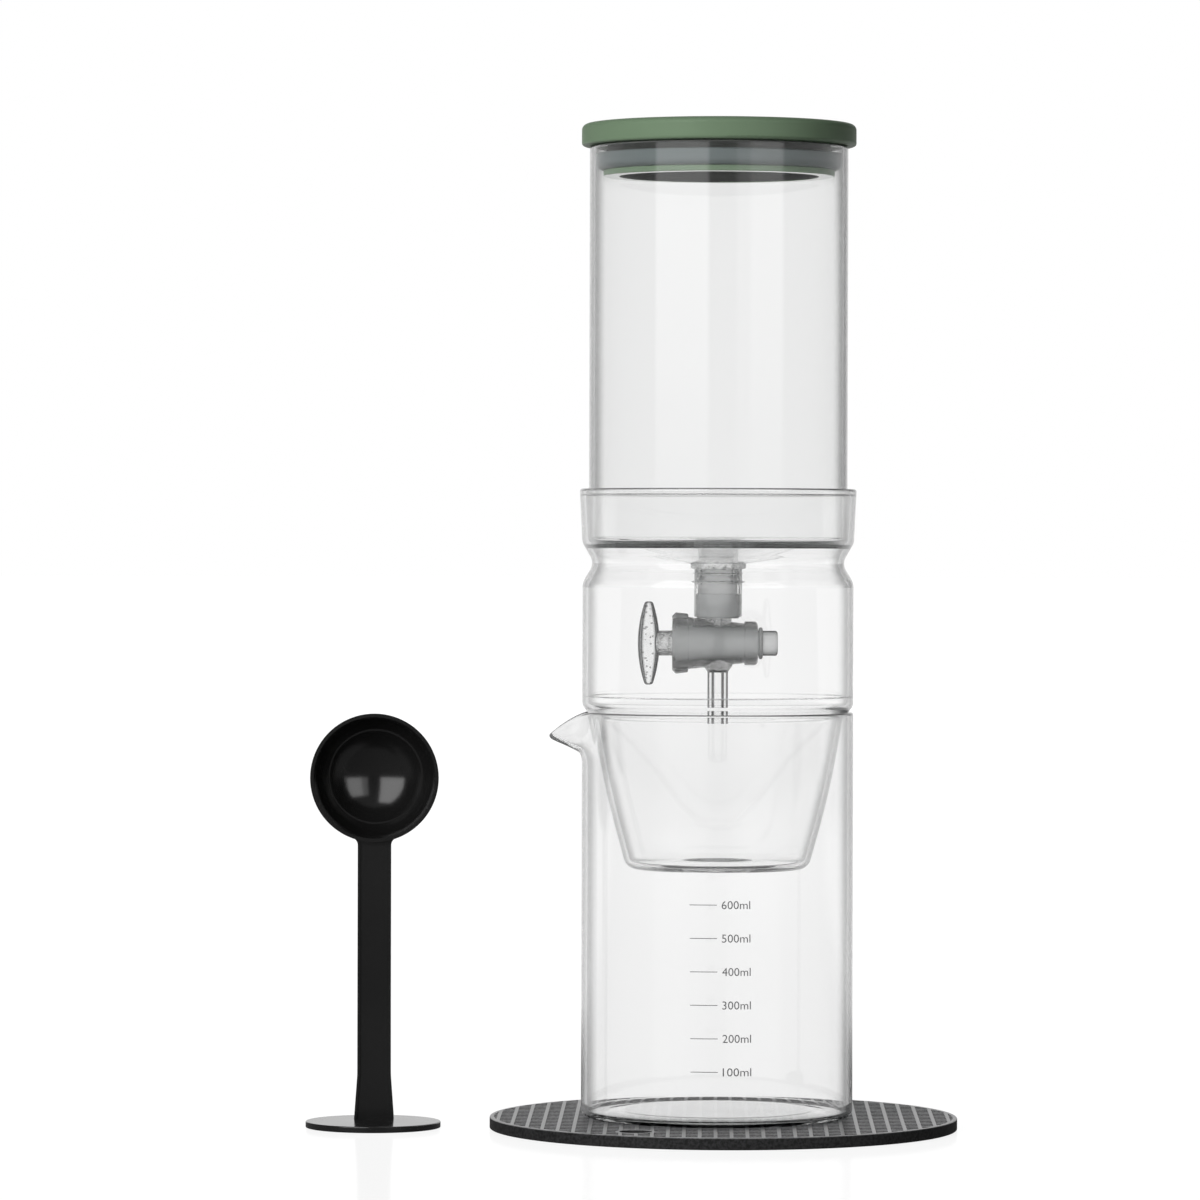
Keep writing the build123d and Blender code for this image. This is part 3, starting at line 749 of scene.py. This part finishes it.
# ---- Coaster
COASTER_CENTRE = Vector((2.6, 0.0))
COASTER_RADIUS = 90.0
COASTER_TOP = 4.5
EDGE_ROUND = 0.5
TOP_RADIUS = COASTER_RADIUS - EDGE_ROUND
BORDER = 1.2               # plain rim round the waffle
POCKET_FLOOR = 3.9
RIB_PITCH = 5.95
RIB_WIDTH = 1.4
GRID_LEAN = math.radians(-1.0)
HOLE_BEARING = math.radians(241.8)    # of the hang hole, from +X about the coaster's centre
HOLE_RUN = 72.2            # and its distance from that centre
HOLE = COASTER_CENTRE + HOLE_RUN * Vector((math.cos(HOLE_BEARING), math.sin(HOLE_BEARING)))
HOLE_RADIUS = 6.2
HOLE_RING = 7.6            # outside of the plain ring round the hole
HOLE_EDGE = 0.3            # the mesh's rows in the hole lie this far from its ends
RIM_STEPS = 288            # points round the rim and round the waffle
HOLE_STEPS = 64
ON_CIRCLE = 0.02           # a point this close to a circle is taken to lie on it
SAME_POINT = 1e-5          # and points this close together are one
SHARP = math.radians(35)   # edges that turn by more aren't smoothed
SQUARE = ((-1, -1), (1, -1), (1, 1), (-1, 1))
# The loops of the coaster's plan. All that follow these four are pockets.
RIM_LOOP, WAFFLE_LOOP, HOLE_LOOP, RING_LOOP = range(4)


def coaster_rubber():
    """Black rubber, duller in the pockets than on the raised ribs, with painted shade in the pockets
    and a painted sheen on the ribs.
    """
    made, tree = new_material("coaster_rubber")
    height = split(tree, object_place(tree))["Z"]
    top = step_up(tree, height, (POCKET_FLOOR + 0.2) * MM, (COASTER_TOP - 0.1) * MM)
    dust = step_up(tree, noise(tree, 900.0, roughness=0.7), 0.35, 0.65)
    # Painted shade: the pockets are painted near-black. Painted sheen: the rib tops are painted a
    # lighter grey than the rubber.
    pockets = blend_colour(tree, dust, grey(0.006), (0.030, 0.030, 0.031, 1))
    ribs = blend_colour(tree, dust, (0.12, 0.12, 0.123, 1), (0.22, 0.22, 0.223, 1))
    grain = noise(tree, 1400.0, detail=4.0, roughness=0.65)
    bump = bump_normal(tree, grain, strength=0.5, distance=0.1)
    roughness = step_up(tree, top, 0.0, 1.0, 0.62, 0.3)
    opaque(tree, blend_colour(tree, top, pockets, ribs), roughness, bump, specular=0.3)
    return made


def ring_points(centre, radius, count):
    """Points on a flat circle."""
    return [centre + radius * Vector((math.cos(a), math.sin(a))) for a in even_angles(count)]


def coaster_loops():
    """Closed loops of points that the coaster's top is divided by."""
    loops = [ring_points(COASTER_CENTRE, TOP_RADIUS, RIM_STEPS),
             ring_points(COASTER_CENTRE, TOP_RADIUS - BORDER, RIM_STEPS),
             ring_points(HOLE, HOLE_RADIUS, HOLE_STEPS),
             ring_points(HOLE, HOLE_RING, HOLE_STEPS)]
    across = Vector((math.cos(GRID_LEAN), math.sin(GRID_LEAN)))
    along = Vector((-across.y, across.x))
    half = (RIB_PITCH - RIB_WIDTH) / 2
    reach = int(COASTER_RADIUS / RIB_PITCH) + 1
    for i in range(-reach, reach + 1):
        for j in range(-reach, reach + 1):
            middle = COASTER_CENTRE + across * (i * RIB_PITCH) + along * (j * RIB_PITCH)
            if (middle - COASTER_CENTRE).length <= COASTER_RADIUS + RIB_PITCH:
                loops.append([middle + across * (a * half) + along * (b * half) for a, b in SQUARE])
    return loops


def coaster_plan():
    """The top's points and faces, and the loops that each face lies in."""
    points, numbered = [], []
    for loop in coaster_loops():
        numbered.append(list(range(len(points), len(points) + len(loop))))
        points += loop
    everything = 0      # the kind of result that keeps the faces outside the loops too
    plan, _, faces, _, _, inside = delaunay_2d_cdt(points, [], numbered, everything, SAME_POINT)
    return plan, faces, inside


def lay_waffle(mesh, top, low, faces, inside):
    """Ribs and borders on the top's points, pockets on the low ones, and the walls between."""
    sides = {}
    for face, loops in zip(faces, inside):
        if RIM_LOOP not in loops or HOLE_LOOP in loops:
            continue
        pocket = WAFFLE_LOOP in loops and RING_LOOP not in loops and max(loops) > RING_LOOP
        level = low if pocket else top
        mesh.faces.new([level[k] for k in face])
        for edge in zip(face, face[1:] + face[:1]):
            sides.setdefault(frozenset(edge), set()).add(pocket)
    for edge, kinds in sides.items():
        if len(kinds) == 2:
            a, b = edge
            mesh.faces.new((top[a], top[b], low[b], low[a]))


def lay_side(mesh, plan, top, centre, radius, profile):
    """The side below a circle of the top, down a profile. Gives back the edges of its foot."""
    rim = [k for k, place in enumerate(plan) if abs((place - centre).length - radius) < ON_CIRCLE]
    rim.sort(key=lambda k: math.atan2(*(plan[k] - centre).yx))
    spokes = [(plan[k] - centre).normalized() for k in rim]
    ring = [top[k] for k in rim]
    for point in profile:
        lower = [mesh.verts.new((*(centre + spoke * point.x), point.y)) for spoke in spokes]
        join_rings(mesh, ring, lower)
        ring = lower
    return [mesh.edges.get(pair) for pair in zip(ring, ring[1:] + ring[:1])]


def make_coaster():
    """A rubber disc whose top has square pockets between crossing ribs."""
    plan, faces, inside = coaster_plan()
    mesh = bmesh.new()
    top = [mesh.verts.new((*place, COASTER_TOP)) for place in plan]
    low = [mesh.verts.new((*place, POCKET_FLOOR)) for place in plan]
    lay_waffle(mesh, top, low, faces, inside)
    edge_profile = rounded([
        (TOP_RADIUS, COASTER_TOP, 0),
        (COASTER_RADIUS, COASTER_TOP, EDGE_ROUND),
        (COASTER_RADIUS, 0, EDGE_ROUND),
        (TOP_RADIUS, 0, 0),
    ], closed=False)[1:]
    hole_rows = (COASTER_TOP - HOLE_EDGE, HOLE_EDGE, 0)
    hole_profile = [Vector((HOLE_RADIUS, height)) for height in hole_rows]
    foot = lay_side(mesh, plan, top, COASTER_CENTRE, TOP_RADIUS, edge_profile)
    foot += lay_side(mesh, plan, top, HOLE, HOLE_RADIUS, hole_profile)
    bmesh.ops.triangle_fill(mesh, edges=foot, use_beauty=True)
    unused = [vert for vert in mesh.verts if not vert.link_faces]
    bmesh.ops.delete(mesh, geom=unused, context="VERTS")
    made = piece("coaster_waffle", mesh)
    made.data.set_sharp_from_angle(angle=SHARP)
    dress(made, coaster_rubber(), "coaster", "coaster")


# ---- Volume marks
MARK_COUNT = 6
TOP_MARK = 88.9            # height of the highest mark
MARK_STEP = 12.62          # from one mark down to the next
MARK_DRIFT = 0.12          # each mark lies this far to the right of the one above it
FIGURE_LEFT = 0.75
FIGURE_WIDTH = 10.9
FIGURE_HEIGHT = 3.1
TICK_LEFT = -11.45
TICK_LENGTH = 10.4
TICK_HALF = 0.13           # half of its height
TICK_PARTS = 24            # along its length, so that it follows the glass
INK_BACK = 0.005           # the ink starts this far off the glass
INK = 0.03                 # and is this thick


def print_ink():
    """Grey printed ink of the volume marks, slightly uneven."""
    made, tree = new_material("print_ink")
    colour = blend_colour(tree, noise(tree, 900.0), (0.10, 0.10, 0.105, 1), (0.17, 0.17, 0.175, 1))
    opaque(tree, colour, 0.6)
    return made


def wrap(verts):
    """Bends a mark that is drawn flat, in X and Z, round the front of the carafe."""
    for vert in verts:
        angle = vert.co.x / CARAFE_RADIUS
        radius = CARAFE_RADIUS + vert.co.y
        vert.co = Vector((radius * math.sin(angle), -radius * math.cos(angle), vert.co.z))


def letters(words):
    """A flat mesh of words, in the font's own units. Its strokes are thinned a little."""
    font = bpy.data.curves.new("mark", "FONT")
    font.body = words
    font.offset = -0.002
    font.resolution_u = 3
    holder = bpy.data.objects.new("mark", font)
    scene.collection.objects.link(holder)
    bpy.context.view_layer.update()
    flat = bpy.data.meshes.new_from_object(holder)
    bpy.data.objects.remove(holder)
    mesh = bmesh.new()
    mesh.from_mesh(flat)
    bpy.data.meshes.remove(flat)
    bmesh.ops.remove_doubles(mesh, verts=mesh.verts, dist=1e-5)
    return mesh


def add_figures(mesh, words, left, height):
    """Figures of one size, with their middle at a height."""
    part = letters(words)
    xs = [vert.co.x for vert in part.verts]
    ys = [vert.co.y for vert in part.verts]
    wide = FIGURE_WIDTH / (max(xs) - min(xs))
    tall = FIGURE_HEIGHT / (max(ys) - min(ys))
    for vert, x, y in zip(part.verts, xs, ys):
        vert.co = Vector((left + (x - min(xs)) * wide, INK_BACK,
                          height - FIGURE_HEIGHT / 2 + (y - min(ys)) * tall))
    for item in bmesh.ops.extrude_face_region(part, geom=part.faces[:])["geom"]:
        if isinstance(item, bmesh.types.BMVert):
            item.co.y += INK
    wrap(part.verts)
    figures = bpy.data.meshes.new("mark")
    part.to_mesh(figures)
    part.free()
    mesh.from_mesh(figures)
    bpy.data.meshes.remove(figures)


def add_tick(mesh, left, height):
    """A thin bar at a height."""
    front = INK_BACK + INK
    section = [(-TICK_HALF, INK_BACK), (-TICK_HALF, front), (TICK_HALF, front), (TICK_HALF, INK_BACK)]
    columns = [left + TICK_LENGTH * k / TICK_PARTS for k in range(TICK_PARTS + 1)]
    rows = [[mesh.verts.new((x, depth, height + side)) for x in columns] for side, depth in section]
    for a, b in zip(rows, rows[1:] + rows[:1]):
        for k in range(TICK_PARTS):
            mesh.faces.new((a[k], a[k + 1], b[k + 1], b[k]))
    for end in (0, -1):
        mesh.faces.new([row[end] for row in rows])
    for row in rows:
        wrap(row)


def make_marks():
    """Ticks and figures, printed on the carafe's front."""
    mesh = bmesh.new()
    for index in range(MARK_COUNT):
        volume = 100 * (MARK_COUNT - index)
        height = TOP_MARK - MARK_STEP * index
        shift = MARK_DRIFT * index
        add_figures(mesh, f"{volume}ml", FIGURE_LEFT + shift, height)
        add_tick(mesh, TICK_LEFT + shift, height)
    made = piece("carafe_volume_marks", mesh, smooth=False)
    dress(made, print_ink(), "carafe")


# ---- The pieces
# Ranges of the upward share of a surface's direction, over which glass loses its painted shade.
WALLS_ONLY = (0.3, 0.6)
ALL_BUT_FLAT = (0.9, 0.99)

make_carafe(clear_glass("carafe_glass", 70.0, 159.2, (*WALLS_ONLY, 20.0), (0.985, 0.97)))
make_chamber(clear_glass("chamber_glass", 60.0, 245.0, (*ALL_BUT_FLAT, 106.0), (1.0, 0.992)))
make_jar(clear_glass("jar_glass", 340.0, 376.5, (*WALLS_ONLY, 231.0), (0.985, 0.97), socket=True))
make_coaster()
make_marks()

valve_glass = worked_glass("valve_glass", body_ground, body_crackle, body_early, 120.0, (0.76, 0.84))
key_glass = worked_glass("key_glass", key_ground, key_crackle, key_early, 300.0, (0.88, 0.96),
                         key_bubbles)
ring_rubber = moulded("ring_rubber", grey(0.26), grey(0.32), 0.4, grain=900.0, depth=0.05)
lid_plastic = moulded("lid_plastic", (0.150, 0.222, 0.138, 1), (0.165, 0.240, 0.152, 1), 0.55,
                      grain=1500.0, depth=0.04, shade=lid_shade, polish=lid_polish)
gasket_silicone = moulded("gasket_silicone", (0.120, 0.145, 0.146, 1), (0.142, 0.168, 0.168, 1), 0.42,
                          grain=800.0, depth=0.03)
scoop_plastic = moulded("scoop_plastic", grey(0.006), grey(0.011), 0.16, grain=500.0, depth=0.02,
                        specular=0.8)
cad_finishes = {
    "valve_body": valve_glass,
    "valve_key": key_glass,
    "valve_retaining_ring": ring_rubber,
    "lid_cap": lid_plastic,
    "lid_plug": lid_plastic,
    "lid_gasket": gasket_silicone,
    "scoop": scoop_plastic,
}
for node, finish in cad_finishes.items():
    for material_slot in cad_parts[node].material_slots:
        material_slot.material = finish

# ---- Floor
FLOOR_HALF = 30000.0       # half of its width
FLOOR_DROP = 0.02          # it lies this far below the coaster
FLOOR_REACH = (0.8, 6.0)   # in metres from the tower, over which it turns whiter
MIRROR_REACH = (0.15, 0.7)  # in metres behind the tower, over which its mirror image brightens


def emission(tree, strength):
    """White light of a strength, sent out by a surface."""
    return add(tree, "Emission", {"Color": grey(1), "Strength": strength}).outputs[0]


def floor_finish():
    """A white table: plain white to the camera and through glass, with faint shadow and gloss.

    In mirror images it is dark in front and bright behind, and for all other light it is paper."""
    made, tree = new_material("white_table")
    path = add(tree, "LightPath").outputs
    place = object_place(tree)
    away = add(tree, "VectorMath", {0: place}, operation="LENGTH").outputs["Value"]
    glow = step_up(tree, away, *FLOOR_REACH, 0.79, 0.855)
    whiter = product(tree, path["Is Camera Ray"], step_up(tree, away, *FLOOR_REACH, 0.06, 0.15))
    shadowed = add(tree, "BsdfDiffuse", {"Color": grey(0.14)}).outputs[0]
    gloss = add(tree, "BsdfGlossy", {"Color": grey(0.12), "Roughness": 0.12}).outputs[0]
    lit = emission(tree, maths(tree, "ADD", glow, whiter))
    for layer in (shadowed, gloss):
        lit = add(tree, "AddShader", {0: lit, 1: layer}).outputs[0]
    mirrored = emission(tree, step_up(tree, split(tree, place)["Y"], *MIRROR_REACH, 0.12, 0.95))
    paper = blend_colour(tree, noise(tree, 60.0), grey(0.50), grey(0.53))
    plain = add(tree, "BsdfDiffuse", {"Color": paper}).outputs[0]
    unseen = add(tree, "MixShader", {0: path["Is Glossy Ray"], 1: plain, 2: mirrored}).outputs[0]
    seen = maths(tree, "MAXIMUM", path["Is Camera Ray"], path["Is Transmission Ray"])
    surface = add(tree, "MixShader", {0: seen, 1: unseen, 2: lit}).outputs[0]
    add(tree, "OutputMaterial", {"Surface": surface})
    return made


def make_floor():
    """A table that reaches to the horizon."""
    mesh = bmesh.new()
    mesh.faces.new([mesh.verts.new((x * FLOOR_HALF, y * FLOOR_HALF, 0)) for x, y in SQUARE])
    floor = piece("floor", mesh, smooth=False)
    floor.location.z = -FLOOR_DROP * MM
    floor.data.materials.append(floor_finish())


make_floor()

# ---- Camera
CAMERA_PLACE = (-0.0454, -2.456, 0.229)
CAMERA_LENS = 191.4
CAMERA_DIP = 0.6           # degrees below the horizon
CAMERA_ROLL = 0.15


def make_camera():
    """A long lens in front of the tower, a little above its middle."""
    data = bpy.data.cameras.new("camera")
    data.lens = CAMERA_LENS
    data.sensor_width = 36
    data.clip_end = 100
    camera = bpy.data.objects.new("camera", data)
    scene.collection.objects.link(camera)
    camera.matrix_world = (Matrix.Translation(CAMERA_PLACE)
                           @ Matrix.Rotation(math.radians(90 - CAMERA_DIP), 4, "X")
                           @ Matrix.Rotation(math.radians(CAMERA_ROLL), 4, "Z"))
    scene.camera = camera


make_camera()

# ---- Light
LAMP_AIM = Vector((0, 0, 0.2))
LAMP_DISTANCE = 2.5
# What gloss and glass meet, in degrees of azimuth and elevation as the lamps have them: soft boxes
# as (left, right, low, high, strength), and the width of their edges to each side.
SOFT_BOXES = [(-59, -10, 1, 50, 2.3), (27, 58, 1, 36, 1.9), (15, 27, 1, 36, 0.9)]
SOFT_EDGE = 2.5
ROOM_LIGHT = 0.10          # what all other light meets


def area_light(name, azimuth, elevation, size, power):
    """A soft square lamp. Azimuth 0 lies in front, towards -Y, and grows towards +X."""
    data = bpy.data.lights.new(name, "AREA")
    data.shape = "SQUARE"
    data.size = size
    data.energy = power
    lamp = bpy.data.objects.new(name, data)
    scene.collection.objects.link(lamp)
    a, e = math.radians(azimuth), math.radians(elevation)
    away = Vector((math.sin(a) * math.cos(e), -math.cos(a) * math.cos(e), math.sin(e)))
    lamp.location = away * LAMP_DISTANCE + LAMP_AIM
    lamp.rotation_euler = away.to_track_quat("Z", "Y").to_euler()
    lamp.visible_camera = False
    lamp.visible_glossy = False
    lamp.visible_transmission = False


def soft_box(tree, azimuth, elevation, left, right, low, high):
    """1 inside a rectangle of directions, with soft edges."""
    edges = [step_up(tree, azimuth, left - SOFT_EDGE, left + SOFT_EDGE),
             step_up(tree, azimuth, right - SOFT_EDGE, right + SOFT_EDGE, 1.0, 0.0),
             step_up(tree, elevation, low - SOFT_EDGE, low + SOFT_EDGE),
             step_up(tree, elevation, high - SOFT_EDGE, high + SOFT_EDGE, 1.0, 0.0)]
    return product(tree, *edges)


def mirrored_studio(tree, azimuth, elevation):
    """What gloss reflects: a dim room, a bright wall behind, and the soft boxes."""
    dim = step_up(tree, elevation, 20.0, 70.0, 0.08, 0.2)
    behind = maths(tree, "ABSOLUTE", azimuth)
    wall = product(tree, step_up(tree, behind, 145.0, 165.0, 0.0, 0.85),
                   step_up(tree, elevation, 35.0, 60.0, 1.0, 0.0))
    light = maths(tree, "ADD", dim, wall)
    for *sides, strength in SOFT_BOXES:
        box = product(tree, soft_box(tree, azimuth, elevation, *sides), strength)
        light = maths(tree, "ADD", light, box)
    return light


def make_world():
    """Plain studio: white for the camera, and what gloss and glass meet in each direction."""
    world = bpy.data.worlds.new("studio")
    world.use_nodes = True
    world.cycles.sampling_method = "NONE"
    scene.world = world
    tree = world.node_tree
    tree.nodes.clear()
    axes = split(tree, add(tree, "TexCoord").outputs["Generated"])
    degrees = 180 / math.pi
    elevation = product(tree, maths(tree, "ARCSINE", axes["Z"]), degrees)
    towards_front = product(tree, axes["Y"], -1.0)
    azimuth = product(tree, maths(tree, "ARCTAN2", axes["X"], towards_front), degrees)
    through = step_up(tree, maths(tree, "ABSOLUTE", elevation), 20.0, 42.0, 1.0, 0.2)
    path = add(tree, "LightPath").outputs
    crossing = path["Is Transmission Ray"]      # such a ray counts as glossy too
    glossy = maths(tree, "SUBTRACT", path["Is Glossy Ray"], crossing, clamp=True)
    level = maths(tree, "ADD", ROOM_LIGHT, product(tree, path["Is Camera Ray"], 1.0 - ROOM_LIGHT))
    for ray, light in ((glossy, mirrored_studio(tree, azimuth, elevation)), (crossing, through)):
        change = maths(tree, "SUBTRACT", light, ROOM_LIGHT)
        level = maths(tree, "ADD", level, product(tree, ray, change))
    background = add(tree, "Background", {"Color": grey(1), "Strength": level})
    add(tree, "OutputWorld", {"Surface": background.outputs[0]})


area_light("key", azimuth=-35, elevation=16, size=1.3, power=53)
area_light("fill", azimuth=165, elevation=30, size=1.6, power=22)
make_world()

scene.view_settings.view_transform = "Standard"
scene.cycles.max_bounces = 32
scene.cycles.transmission_bounces = 32
scene.cycles.glossy_bounces = 12
scene.cycles.transparent_max_bounces = 32
